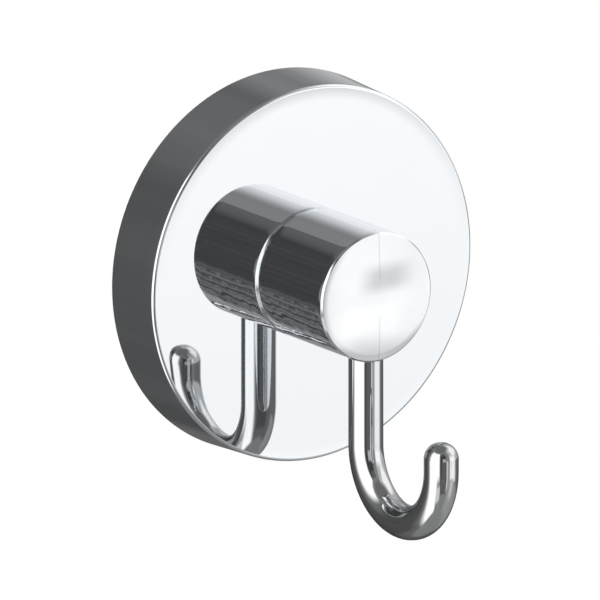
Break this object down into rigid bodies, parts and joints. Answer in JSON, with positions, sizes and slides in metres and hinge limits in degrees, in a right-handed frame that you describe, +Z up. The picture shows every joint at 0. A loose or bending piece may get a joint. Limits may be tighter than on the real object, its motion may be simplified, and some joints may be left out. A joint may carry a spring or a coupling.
{
  "type": "suction cup hook",
  "caption": "Round chrome suction mount with a cylindrical screw knob on its face that carries a bent J hook and pulls the cup's centre in to grip the wall.",
  "frame": {"origin": "centre of the cover's back rim, on the wall plane", "axes": "+Z up, +Y into the wall along the knob's axis, the hook stands out towards -Y"},
  "size_m": [0.0558, 0.0449, 0.0619],
  "materials": {
    "cover_chrome": "mirror-bright chrome plating",
    "clear_vinyl": "clear soft vinyl, glossy",
    "stud_plastic": "moulded plastic, satin",
    "washer_plastic": "slippery plastic, satin",
    "knob_chrome": "mirror-bright chrome plating",
    "hook_chrome": "mirror-bright chrome plating"
  },
  "bodies": {
    "base": {"cover": "cover_chrome", "suction_cup": "clear_vinyl"},
    "turning_knob": {"knob": "knob_chrome", "hook": "hook_chrome", "slip_washer": "washer_plastic"},
    "stud": {"stud": "stud_plastic"}
  },
  "joints": [
    {"name": "knob_turn", "type": "hinge", "parent": "base", "child": "turning_knob", "pos_m": [0, -0.0099, 0], "axis": [0, -1, 0], "range_deg": [0, 270]},
    {"name": "stud_slide", "type": "slide", "parent": "base", "child": "stud", "axis": [0, 1, 0], "range_m": [0, 0.003], "deforming": ["suction_cup"]}
  ],
  "couplings": [
    {"joint": "stud_slide", "follows": "knob_turn", "m_per_rad": 0.0006366}
  ]
}
